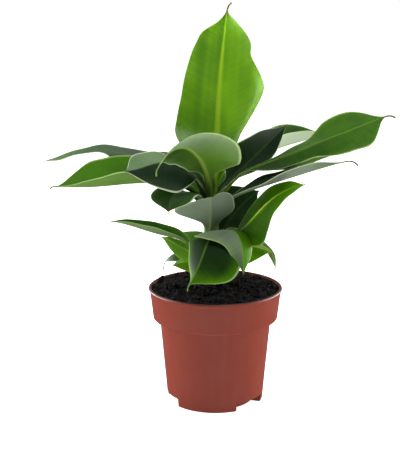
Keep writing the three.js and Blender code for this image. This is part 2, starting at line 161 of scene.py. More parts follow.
class Recipe:
    """One material's node tree, and the calls that fill it."""

    def __init__(self, name: str) -> None:
        """Starts a material that holds only its shader."""
        self.material = bpy.data.materials.new(name)
        self.material.use_nodes = True
        self.nodes = self.material.node_tree.nodes
        self.links = self.material.node_tree.links
        self.shader = self.nodes["Principled BSDF"]

    def feed(self, socket: bpy.types.NodeSocket, value: Any) -> None:
        """Links a signal to a socket, or sets the socket's own value."""
        if isinstance(value, Signal):
            self.links.new(value.socket, socket)
        elif isinstance(value, tuple) and socket.type == "RGBA":
            socket.default_value = (*value, 1.0)
        else:
            socket.default_value = value

    def add(
        self,
        kind: str,
        settings: Mapping[str, Any],
        sockets: Mapping[Union[str, int], Any],
        out: Union[str, int] = 0,
    ) -> Signal:
        """Adds a node of any type.

        Args:
            kind: The node's type.
            settings: Its settings, which are set first.
            sockets: The values or signals of its inputs.
            out: The output to hand back.

        Returns:
            The node's output.
        """
        node = self.nodes.new(kind)
        for name, value in settings.items():
            setattr(node, name, value)
        for name, value in sockets.items():
            self.feed(node.inputs[name], value)
        return Signal(self, node.outputs[out])

    def math(self, operation: str, *values: Any) -> Signal:
        """A Math node on one or two values."""
        return self.add("ShaderNodeMath", {"operation": operation}, dict(enumerate(values)))

    def blend(self, share: Any, a: Any, b: Any) -> Signal:
        """The colour at a share of the way from colour a to colour b."""
        return self.add("ShaderNodeMix", {"data_type": "RGBA"}, {0: share, 6: a, 7: b}, 2)

    def parts(self, vector: Signal) -> tuple[Signal, Signal, Signal]:
        """The three numbers of a vector."""
        split = self.add("ShaderNodeSeparateXYZ", {}, {0: vector})
        outputs = split.socket.node.outputs
        return Signal(self, outputs[0]), Signal(self, outputs[1]), Signal(self, outputs[2])

    def attribute(self, name: str) -> Signal:
        """A vector that the mesh carries at its points."""
        return self.add("ShaderNodeAttribute", {"attribute_name": name}, {}, "Vector")

    def place(self) -> Signal:
        """The point's place in the object."""
        return self.add("ShaderNodeTexCoord", {}, {}, "Object")

    def point(self, x: Any, y: Any, z: Any) -> Signal:
        """A vector from three values."""
        return self.add("ShaderNodeCombineXYZ", {}, {0: x, 1: y, 2: z})

    def cloud(self, where: Signal, scale: float, detail: float = 3.0, rough: float = 0.5) -> Signal:
        """Smooth noise, about 0.5 in the middle."""
        sockets = {"Vector": where, "Scale": scale, "Detail": detail, "Roughness": rough}
        return self.add("ShaderNodeTexNoise", {}, sockets)

    def relief(self, height: Signal, depth: float) -> None:
        """Raises the surface by a height signal times a depth in millimetres."""
        sockets = {"Height": height, "Distance": depth * MM, "Strength": 1.0}
        self.feed(self.shader.inputs["Normal"], self.add("ShaderNodeBump", {}, sockets))

    def finish(self, **sockets: Any) -> Finish:
        """Sets the shader's sockets, named with _ for a space, and hands over the material."""
        for name, value in sockets.items():
            self.feed(self.shader.inputs[name.replace("_", " ")], value)
        return self.material


# ---- finishes


@dataclass(frozen=True)
class LeafSide:
    """One side of a banana leaf: veins run out from its midrib, and it lets some light through.

    The mesh carries three vectors. "place" is millimetres across, millimetres along and the share
    of the half's width. "tone" is how fresh, how stalk-like and how browned the leaf is; its
    freshness also carries painted margin light and painted light and shade on each half. "finish"
    is 1 on the midrib and 0 beside it, then the waxy bloom on the under side, then the painted
    sheen on the upper side.
    """

    name: str
    upper: bool
    deep: Colour
    fresh: Colour
    rib: Colour
    edge: Colour
    wax_and_sheen: Colour
    rib_show: float
    edge_show: float
    furl_show: float
    roughness: float
    sheen: float
    glow: float
    vein_depth: float
    brown: Colour = (0.085, 0.050, 0.022)
    vein_spacing: float = 1.9
    streaked: float = 0.3
    blotched: float = 0.5
    vein_slant: float = 0.55
    edge_from: float = 0.93
    edge_full: float = 0.97
    stalk_show: float = 0.75
    light_reach: Colour = (0.8, 1.0, 0.2)
    light_scale: float = 1.6

    def material(self) -> Finish:
        """The finish as a material."""
        recipe = Recipe(self.name)
        across, length, share = recipe.parts(recipe.attribute("place"))
        fresh, stalky, browned = recipe.parts(recipe.attribute("tone"))
        rib, below, above = recipe.parts(recipe.attribute("finish"))
        # On the upper side this channel is painted sheen; on the under side it is waxy bloom.
        wax_and_sheen = above if self.upper else below
        slant = length - abs(across) * self.vein_slant
        streak = recipe.cloud(recipe.point(across * 0.02, slant * 0.5, 0.0), 1.0, 4.0, 0.6)
        furl = recipe.cloud(recipe.point(across * 0.09, length * 0.004, 3.0), 1.0, 1.0)
        patch = recipe.cloud(recipe.place(), 34.0, 2.0)
        veins = (slant * (2 * math.pi / self.vein_spacing)).sine() * 0.5 + 0.5
        edged = share.step(self.edge_from, self.edge_full)
        uneven = (streak - 0.5) * self.streaked + (patch - 0.5) * self.blotched
        shade = fresh + uneven + (furl - 0.5) * self.furl_show
        green = recipe.blend(shade.step(0.0, 1.0), self.deep, self.fresh)
        green = recipe.blend((wax_and_sheen + uneven * wax_and_sheen).step(0.0, 1.0), green, self.wax_and_sheen)
        green = recipe.blend(rib * self.rib_show, green, self.rib)
        green = recipe.blend(edged * self.edge_show, green, self.edge)
        green = recipe.blend(stalky * self.stalk_show, green, self.rib)
        colour = recipe.blend(browned, green, self.brown)
        recipe.relief(veins * (1 - rib) + streak, self.vein_depth)
        recipe.shader.subsurface_method = "RANDOM_WALK"
        return recipe.finish(
            Base_Color=colour,
            Roughness=self.roughness + (patch - 0.5) * 0.16 + wax_and_sheen * 0.12 + browned * 0.2,
            Specular_IOR_Level=self.sheen,
            Subsurface_Weight=self.glow,
            Subsurface_Radius=self.light_reach,
            Subsurface_Scale=self.light_scale * MM,
        )


class Tint(Enum):
    """How a leaf looks: the finish of its upper side and the finish of its under side."""

    # Darker copy of the green finishes: deep green leaves, made darker still as painted shade for
    # leaves that stand in shade.
    DEEP = (
        LeafSide(
            "deep_shaded_leaf_top", True, (0.004, 0.013, 0.005), (0.030, 0.090, 0.010),
            (0.050, 0.100, 0.026), (0.480, 0.560, 0.380), (0.220, 0.310, 0.170),
            0.30, 0.85, 0.2, 0.44, 0.14, 0.05, 0.05,
        ),
        LeafSide(
            "deep_shaded_leaf_underside", False, (0.030, 0.056, 0.026), (0.070, 0.130, 0.045),
            (0.130, 0.210, 0.060), (0.330, 0.400, 0.240), (0.235, 0.280, 0.210),
            0.60, 0.70, 0.2, 0.46, 0.25, 0.10, 0.08,
        ),
    )
    GREEN = (
        LeafSide(
            "green_leaf_top", True, (0.006, 0.022, 0.002), (0.048, 0.150, 0.001),
            (0.160, 0.290, 0.030), (0.300, 0.420, 0.150), (0.300, 0.360, 0.260),
            0.38, 0.60, 0.3, 0.50, 0.06, 0.20, 0.05,
        ),
        LeafSide(
            "green_leaf_underside", False, (0.018, 0.052, 0.006), (0.080, 0.170, 0.015),
            (0.200, 0.310, 0.040), (0.380, 0.490, 0.230), (0.320, 0.385, 0.275),
            0.85, 0.70, 0.3, 0.42, 0.25, 0.25, 0.08,
        ),
    )
    # Paler, yellower copy of the green finishes: young leaves are yellow-green, and the extra
    # brightness is painted backlight.
    YOUNG = (
        LeafSide(
            "young_backlit_leaf_top", True, (0.045, 0.120, 0.003), (0.205, 0.385, 0.006),
            (0.300, 0.460, 0.014), (0.110, 0.200, 0.025), (0.200, 0.330, 0.090),
            0.85, 0.45, 0.7, 0.40, 0.25, 0.75, 0.02,
        ),
        LeafSide(
            "young_backlit_leaf_underside", False, (0.050, 0.140, 0.008), (0.180, 0.350, 0.024),
            (0.300, 0.440, 0.050), (0.200, 0.300, 0.060), (0.250, 0.350, 0.150),
            0.95, 0.45, 0.7, 0.45, 0.30, 0.75, 0.04,
        ),
    )


@dataclass(frozen=True)
class StemSkin:
    """The light green false stem, dark brown where it meets the soil: soil stain, with painted
    shade.
    """

    green: Colour = (0.090, 0.150, 0.025)
    pale: Colour = (0.190, 0.250, 0.080)
    foot: Colour = (0.045, 0.028, 0.015)
    foot_height: float = 114.0
    fade_below: float = 6.0
    fade_above: float = 10.0

    def material(self) -> Finish:
        """The finish as a material."""
        recipe = Recipe("stem_skin")
        x, y, z = recipe.parts(recipe.place())
        stripes = recipe.cloud(recipe.point(x * 900, y * 900, z * 60), 1.0, 4.0)
        green = recipe.blend(stripes.step(0.35, 0.65), self.green, self.pale)
        # Painted shade and soil stain: the stem turns dark brown towards the soil.
        starts, ends = self.foot_height - self.fade_below, self.foot_height + self.fade_above
        low = 1 - z.step(starts * MM, ends * MM)
        colour = recipe.blend(low * 0.9, green, self.foot)
        recipe.relief(stripes, 0.12)
        return recipe.finish(Base_Color=colour, Roughness=0.42 + stripes * 0.1)


@dataclass(frozen=True)
class Terracotta:
    """Terracotta-coloured moulded plastic, matte with a faint grain, with painted shade on the
    lip's top and a painted highlight along the step.
    """

    body: Colour = (0.186, 0.027, 0.014)
    dusty: Colour = (0.230, 0.055, 0.032)
    painted_lip_shade: Colour = (0.024, 0.004, 0.005)
    painted_step_highlight: Colour = (0.420, 0.130, 0.090)
    height: float = 104.2
    step_at: float = 75.2
    lip_shade_from: float = 0.40
    lip_shade_full: float = 0.10

    def material(self) -> Finish:
        """The finish as a material."""
        recipe = Recipe("terracotta_plastic")
        place = recipe.place()
        x, y, z = recipe.parts(place)
        grain = recipe.cloud(place, 1500.0, 2.0)
        dust = recipe.cloud(place, 45.0, 4.0, 0.6)
        streaks = recipe.cloud(recipe.point(x * 160, y * 160, z * 12), 1.0, 3.0)
        worn = (dust * 0.6 + streaks * 0.4).step(0.35, 0.75)
        colour = recipe.blend(worn * 0.25, self.body, self.dusty)
        # Painted shade: the top of the lip is darkened to a dark maroon.
        lip_shade = self.height - self.lip_shade_from, self.height - self.lip_shade_full
        lip_shade_mask = z.step(lip_shade[0] * MM, lip_shade[1] * MM)
        # Painted highlight: a lighter line along the step under the band.
        step_highlight_mask = 1 - abs(z / MM - self.step_at).step(0.3, 1.1)
        colour = recipe.blend(step_highlight_mask * 0.5, colour, self.painted_step_highlight)
        colour = recipe.blend(lip_shade_mask * 0.85, colour, self.painted_lip_shade)
        recipe.relief(grain * 0.6 + streaks, 0.05)
        return recipe.finish(
            Base_Color=colour,
            Roughness=0.27 + worn * 0.03 + grain * 0.05,
            Specular_IOR_Level=0.5,
        )


@dataclass(frozen=True)
class PottingSoil:
    """Moist dark potting soil."""

    dark: Colour = (0.0011, 0.0007, 0.0012)
    light: Colour = (0.0210, 0.0140, 0.0165)
    fibre: Colour = (0.110, 0.066, 0.034)

    def material(self) -> Finish:
        """The finish as a material."""
        recipe = Recipe("potting_soil")
        place = recipe.place()
        clods = recipe.cloud(place, 420.0, 5.0, 0.65)
        grains = recipe.cloud(place, 1600.0, 3.0)
        colour = recipe.blend((clods * 0.6 + grains * 0.4).step(0.48, 0.66), self.dark, self.light)
        flecks = recipe.cloud(place, 700.0, 2.0).step(0.64, 0.74)
        colour = recipe.blend(flecks * 0.7, colour, self.fibre)
        recipe.relief(clods * 2 + grains, 0.7)
        return recipe.finish(
            Base_Color=colour, Roughness=0.95 - grains * 0.15, Specular_IOR_Level=0.15
        )


@dataclass(frozen=True)
class StudioPaper:
    """The plain pale paper of the studio, which glows so that it comes out white."""

    glow: float
    colour: Colour = (0.82, 0.82, 0.82)
    tooth: Colour = (0.7, 0.7, 0.7)
    light: Colour = (1.0, 1.0, 1.0)

    def material(self, name: str) -> Finish:
        """The finish as a material of this name."""
        recipe = Recipe(name)
        rough = recipe.cloud(recipe.place(), 300.0, 2.0)
        shade = recipe.blend(rough * 0.04, self.colour, self.tooth)
        return recipe.finish(
            Base_Color=shade,
            Roughness=0.9,
            Emission_Color=self.light,
            Emission_Strength=self.glow,
        )


# ---- meshes


def thicken(bm: Body, height: float) -> None:
    """Makes a closed body of flat faces by raising a copy of them."""
    raised = bmesh.ops.extrude_face_region(bm, geom=bm.faces[:])
    corners = [part for part in raised["geom"] if isinstance(part, bmesh.types.BMVert)]
    bmesh.ops.translate(bm, vec=(0, 0, height), verts=corners)


def slab(columns: int, rows: int) -> Body:
    """A closed flat slab to be shaped.

    Args:
        columns: Faces across it, where X runs from -1 to 1.
        rows: Faces along it, where Y runs from -1 to 1.

    Returns:
        The slab. Z is 0 on its lower side and 1 on its upper side.
    """
    bm = bmesh.new()
    bmesh.ops.create_grid(bm, x_segments=columns, y_segments=rows, size=1.0)
    thicken(bm, 1.0)
    return bm


def turned(profile: Sequence[tuple[float, float]], steps: int) -> Body:
    """A closed body turned round the Z axis.

    Args:
        profile: Radius and height of each corner; it starts and ends on the axis.
        steps: Faces round the body.

    Returns:
        The body, in millimetres.
    """
    bm = bmesh.new()
    corners = [bm.verts.new((radius, 0.0, z)) for radius, z in profile]
    edges = [bm.edges.new(pair) for pair in zip(corners, corners[1:])]
    bmesh.ops.spin(
        bm, geom=corners + edges, axis=(0, 0, 1), cent=(0, 0, 0),
        angle=2 * math.pi, steps=steps, use_merge=True,
    )
    bmesh.ops.remove_doubles(bm, verts=bm.verts[:], dist=1e-4)
    bmesh.ops.recalc_face_normals(bm, faces=bm.faces[:])
    return bm


def soften(bm: Body, sharp_over: float = 40.0) -> None:
    """Shades faces smoothly, except across edges that turn by more than an angle."""
    for face in bm.faces:
        face.smooth = True
    limit = math.radians(sharp_over)
    for edge in bm.edges:
        edge.smooth = len(edge.link_faces) == 2 and edge.calc_face_angle(0.0) < limit


def in_scene(name: str, data: bpy.types.ID) -> Piece:
    """A new object that holds some data, linked to the scene."""
    piece = bpy.data.objects.new(name, data)
    bpy.context.scene.collection.objects.link(piece)
    return piece


def mesh_object(name: str, bm: Body) -> Piece:
    """A bmesh in millimetres as an object in metres, linked to the scene."""
    bmesh.ops.scale(bm, vec=(MM, MM, MM), verts=bm.verts[:])
    mesh = bpy.data.meshes.new(name)
    bm.to_mesh(mesh)
    bm.free()
    return in_scene(name, mesh)


def hand_over(
    piece: Piece,
    finishes: Sequence[Finish],
    stands_for: Sequence[str] = (),
) -> Piece:
    """Finishes a piece and ties it to the frame.

    Args:
        piece: The object, in place.
        finishes: Its materials, in the order of its faces' numbers.
        stands_for: The solids that it is shown in place of.

    Returns:
        The same piece.
    """
    for finish in finishes:
        piece.data.materials.append(finish)
    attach(piece, "root")
    if stands_for:
        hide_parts(*stands_for)
    log.info("%s: %d faces", piece.name, len(piece.data.polygons))
    return piece


# ---- pot


@dataclass
class Pot:
    """A round nursery pot with a tapered band under its lip and a foot on three sectors."""

    height: float = 104.2
    rim_radius: float = 60.0
    lip_height: float = 2.4
    lip_proud: float = 0.8
    band_height: float = 27.6
    band_foot_radius: float = 56.0
    step_height: float = 1.6
    neck_radius: float = 50.0
    base_radius: float = 43.2
    wall: float = 1.5
    floor: float = 1.8
    notch_bearings: tuple[float, ...] = (-41.6, 78.4, 198.4)
    notch_width: float = 45.0
    notch_height: float = 7.5
    notch_depth: float = 9.0
    drain_radius: float = 3.0
    steps: int = 128
    corner: float = 0.7

    def band_radius(self, z: float) -> float:
        """Outer radius of the band at a height."""
        share = (z - self.height + self.band_height) / self.band_height
        return mix(self.band_foot_radius, self.rim_radius - self.lip_proud, share)

    def foot(self, inset: float, z: float) -> list[tuple[float, float]]:
        """The outline from the underside up through the step, drawn in by an inset."""
        band_foot = self.height - self.band_height + inset * 0.8
        return [
            (0.0, z),
            (self.base_radius - inset, z),
            (self.neck_radius - inset, band_foot - self.step_height),
            (self.band_radius(band_foot) - inset, band_foot),
        ]

    def shell(self) -> Body:
        """The pot's outside as one filled body with eased corners."""
        foot = self.height - self.lip_height
        lip = [
            (self.band_radius(foot - self.lip_proud), foot - self.lip_proud),
            (self.rim_radius, foot),
            (self.rim_radius, self.height),
            (0.0, self.height),
        ]
        bm = turned(self.foot(0.0, 0.0) + lip, self.steps)
        rings = [edge for edge in bm.edges if self.is_corner(edge)]
        bmesh.ops.bevel(
            bm, geom=rings, offset=self.corner, affect="EDGES",
            segments=3, profile=0.5, material=-1,
        )
        return bm

    def is_corner(self, edge: bmesh.types.BMEdge) -> bool:
        """Whether an edge is part of a ring that the mould rounds off."""
        low, high = sorted(corner.co.z for corner in edge.verts)
        level = high - low < 1e-4 and min(c.co.xy.length for c in edge.verts) > 1.0
        return level and edge.calc_face_angle(0.0) > math.radians(20)

    def notch(self, bearing: float, grow: float) -> Body:
        """The block cut from the foot at a bearing, grown for the wall round it."""
        outer = self.base_radius + self.wall * 4
        inner = self.base_radius - self.notch_depth - grow
        spread = self.notch_width / 2 + math.degrees(grow / self.base_radius)
        bm = bmesh.new()
        start = [bm.verts.new(polar(r, bearing - spread, -1.0)) for r in (inner, outer)]
        edge = bm.edges.new(start)
        sweep = math.radians(2 * spread)
        bmesh.ops.spin(
            bm, geom=[*start, edge], axis=(0, 0, 1), cent=(0, 0, 0), angle=sweep, steps=16
        )
        thicken(bm, self.notch_height + grow + 1)
        bmesh.ops.recalc_face_normals(bm, faces=bm.faces[:])
        return bm

    def drain(self, bearing: float) -> Body:
        """The round hole through the roof of the notch at a bearing."""
        bm = bmesh.new()
        radius = self.base_radius - self.notch_depth / 2 - self.wall
        place = polar(radius, bearing, self.notch_height)
        bmesh.ops.create_cone(
            bm, cap_ends=True, segments=24, radius1=self.drain_radius, radius2=self.drain_radius,
            depth=self.notch_height, matrix=Matrix.Translation(place),
        )
        return bm

    def cut(self, piece: Piece, cutters: Sequence[Piece]) -> None:
        """Cuts other bodies out of a piece for good, and removes them."""
        for cutter in cutters:
            modifier = piece.modifiers.new("cut", "BOOLEAN")
            modifier.operation = "DIFFERENCE"
            modifier.solver = "EXACT"
            modifier.object = cutter
        bpy.context.view_layer.update()
        graph = bpy.context.evaluated_depsgraph_get()
        cut = bpy.data.meshes.new_from_object(piece.evaluated_get(graph))
        piece.modifiers.clear()
        piece.data = cut
        for cutter in cutters:
            bpy.data.objects.remove(cutter)

    def build(self, finish: Finish) -> Piece:
        """Makes the pot.

        Args:
            finish: The pot's material.

        Returns:
            The pot's piece.
        """
        above = self.height + 1
        mouth = [(self.band_radius(above) - self.wall, above), (0.0, above)]
        hollow_profile = self.foot(self.wall, self.floor) + mouth
        hollow = mesh_object("pot_hollow", turned(hollow_profile, self.steps))
        bulges = [mesh_object("bulge", self.notch(b, self.wall)) for b in self.notch_bearings]
        self.cut(hollow, bulges)
        pot = mesh_object("pot_shell", self.shell())
        notches = [mesh_object("notch", self.notch(b, 0.0)) for b in self.notch_bearings]
        self.cut(pot, notches)
        self.cut(pot, [hollow])
        self.cut(pot, [mesh_object("drain", self.drain(b)) for b in self.notch_bearings])
        bm = bmesh.new()
        bm.from_mesh(pot.data)
        bmesh.ops.remove_doubles(bm, verts=bm.verts[:], dist=1e-6)
        soften(bm)
        bm.to_mesh(pot.data)
        bm.free()
        return hand_over(pot, [finish], ["pot"])


# ---- soil


@dataclass
class SoilTop:
    """The uneven top of the potting soil, with loose crumbs on it."""

    pot: Pot
    stem_x: float = -4.0
    edge_height: float = 102.0
    middle_height: float = 104.2
    flat_radius: float = 13.0
    mound: float = 4.5
    mound_reach: float = 24.0
    mound_top: float = 0.35
    depth: float = 3.0
    gap: float = 0.3
    rings: int = 46
    steps: int = 180
    crumbs: int = 700
    fine_over: float = 1.3
    fibres: int = 90
    swell: float = 0.4
    waves: tuple[Triple, ...] = ((9.0, 0.3, 1.8), (3.2, 5.1, 2.0), (1.6, 9.7, 0.9))
    strays: tuple[tuple[float, float], ...] = (
        (150, 4.2), (154, 3.0), (118, 3.6), (112, 2.4), (62, 2.4),
    )
    seed: int = 7

    def height(self, x: float, y: float) -> float:
        """Height of the soil's lumpy top."""
        from_stem = math.hypot(x - self.stem_x, y)
        reach = self.pot.rim_radius - self.flat_radius
        share = clamp((from_stem - self.flat_radius) / reach)
        base = mix(self.middle_height, self.edge_height, share)
        mound_edge = self.mound_reach * self.mound_top
        mound = self.mound * (1 - ease(mound_edge, self.mound_reach, from_stem))
        level = base + self.swell + mound
        for width, layer, height in self.waves:
            level += noise.noise(Vector((x / width, y / width, layer))) * height
        return level

    def edge_radius(self) -> float:
        """Radius of the soil where it meets the pot's wall."""
        return self.pot.band_radius(self.edge_height) - self.pot.wall - self.gap

    def cover(self) -> Body:
        """The lumpy top as a thin closed body."""
        edge = self.edge_radius()
        foot = self.edge_height - self.depth
        rings = [(edge * i / self.rings, self.edge_height) for i in range(self.rings, -1, -1)]
        bm = turned([(0.0, foot), (edge, foot), *rings], self.steps)
        for corner in bm.verts:
            if corner.co.z > foot + 0.1:
                corner.co.z = self.height(corner.co.x, corner.co.y)
        return bm

    def crumb(self, bm: Body, source: random.Random) -> None:
        """Adds one crumb, half sunk in the top."""
        radius = (self.edge_radius() - 2.0) * math.sqrt(source.random())
        place = polar(radius, source.uniform(0, 360), 0.0)
        size = 0.5 + 2.0 * source.random() ** 2.2
        place.z = self.height(place.x, place.y) + size * 0.2
        self.clod(bm, source, place, size)

    def clod(self, bm: Body, source: random.Random, place: Vector, size: float) -> None:
        """Adds one ragged lump at a place."""
        turn = Euler([source.uniform(0, math.pi) for _ in range(3)]).to_matrix().to_4x4()
        stretch = Matrix.Diagonal((size, size * source.uniform(0.6, 1), size * 0.7, 1))
        matrix = Matrix.Translation(place) @ turn @ stretch
        made = bmesh.ops.create_icosphere(
            bm, subdivisions=2 if size > self.fine_over else 1, radius=1.0, matrix=matrix
        )
        for corner in made["verts"]:
            shift = noise.noise(corner.co * 1.1) * 0.35
            corner.co += (corner.co - place) * shift

    def fibre(self, bm: Body, source: random.Random) -> None:
        """Adds one thin strand of peat that lies on the top, with one end raised."""
        radius = (self.edge_radius() - 5.0) * math.sqrt(source.random())
        place = polar(radius, source.uniform(0, 360), 0.0)
        place.z = self.height(place.x, place.y) + 0.5
        turn = Euler((math.radians(source.uniform(66, 88)), 0, source.uniform(0, 2 * math.pi)))
        bmesh.ops.create_cone(
            bm, cap_ends=True, segments=5, radius1=source.uniform(0.15, 0.3), radius2=0.08,
            depth=source.uniform(3, 8),
            matrix=Matrix.Translation(place) @ turn.to_matrix().to_4x4(),
        )

    def build(self, finish: Finish) -> Piece:
        """Makes the top of the soil.

        Args:
            finish: The soil's material.

        Returns:
            The top's piece.
        """
        bm = self.cover()
        source = random.Random(self.seed)
        for _ in range(self.crumbs):
            self.crumb(bm, source)
        for _ in range(self.fibres):
            self.fibre(bm, source)
        for bearing, size in self.strays:
            height = self.pot.height + size * 0.22
            place = polar(self.edge_radius() - size * 0.1, bearing, height)
            self.clod(bm, source, place, size * 0.5)
        soften(bm, 70.0)
        return hand_over(mesh_object("soil_top", bm), [finish])


# ---- stem


@dataclass
class FalseStem:
    """The false stem of rolled leaf sheaths, whose edges wind round it."""

    x: float = -4.0
    foot: float = 104.0
    height: float = 83.0
    radii: Curve = (9.5, 7.4, 6.8, 6.4, 6.1, 5.8, 5.4, 4.4)
    sheath_ridge: float = 0.5
    sheath_count: int = 3
    sheath_twist: float = 70.0
    sheath_steepness: float = 14.0
    sides: int = 96
    rings: int = 60

    def radius(self, z: float) -> float:
        """The stem's radius at a height."""
        return along(self.radii, (z - self.foot) / self.height)

    def surface(self, bearing: float, z: float) -> Vector:
        """A point of the stem's skin, with the sheaths' edges on it."""
        share = (z - self.foot) / self.height
        turn = (bearing + share * self.sheath_twist) * self.sheath_count / 360
        turn -= math.floor(turn)
        ridge = self.sheath_ridge * (min(turn, (1 - turn) * self.sheath_steepness) - 0.5)
        point = polar(self.radius(z) + ridge, bearing, z)
        return point + Vector((self.x, 0, 0))

    def build(self, finish: Finish) -> Piece:
        """Makes the false stem.

        Args:
            finish: The stem's material.

        Returns:
            The stem's piece.
        """
        bm = bmesh.new()
        bmesh.ops.create_cone(
            bm, cap_ends=True, segments=self.sides, radius1=1.0, radius2=1.0, depth=1.0
        )
        uprights = [e for e in bm.edges if abs(e.verts[0].co.z - e.verts[1].co.z) > 0.5]
        bmesh.ops.subdivide_edges(bm, edges=uprights, cuts=self.rings)
        for corner in bm.verts:
            bearing = math.degrees(math.atan2(corner.co.y, corner.co.x)) % 360
            corner.co = self.surface(bearing, self.foot + (corner.co.z + 0.5) * self.height)
        soften(bm)
        return hand_over(mesh_object("stem_skin", bm), [finish], ["pseudostem"])


# ---- leaves


@dataclass(frozen=True)
class Half:
    """One half of a blade, at evenly spaced places from its foot to its tip."""

    width: Curve
    lift: Curve
    cup: Curve = 0.0
    fold: Curve = 0.0
    fold_at: float = 0.65
    # Painted light and shade on this half: a plus lightens it, a minus darkens it.
    painted_half_light: Curve = 0.0
    # Shifts this half's waxy bloom below and its painted sheen above.
    wax_and_sheen_shift: Curve = 0.0


@dataclass(frozen=True)
class Leaf:
    """One leaf's course and outline, how fresh each of its sides looks, and the light, shade and
    sheen painted on it.
    """

    node: str
    foot: tuple[float, float]
    stalk: float
    blade: float
    heading: Curve
    climb: Curve
    left: Half
    right: Half
    whisker: float = 0.0
    stalk_half: float = 2.3
    rib: float = 2.0
    tint: Tint = Tint.GREEN
    fresh: Curve = 0.5
    # Painted margin light: the outer part of each half is made fresher, as if lit from behind.
    painted_rim_light: float = 0.16
    bloom: Curve = 0.1
    bloom_rim: float = 0.0
    # Painted sheen: pale grey-green laid over the upper side.
    painted_sheen: Curve = 0.0
    dry_tip: float = 1.0

    @property
    def body(self) -> float:
        """Length without the whisker."""
        return self.stalk + self.blade

    @property
    def length(self) -> float:
        """Length from the foot to the very tip."""
        return self.body + self.whisker

    def blade_share(self, distance: float) -> float:
        """How far along the blade a distance from the foot is, from 0 to 1."""
        return clamp((distance - self.stalk) / self.blade)


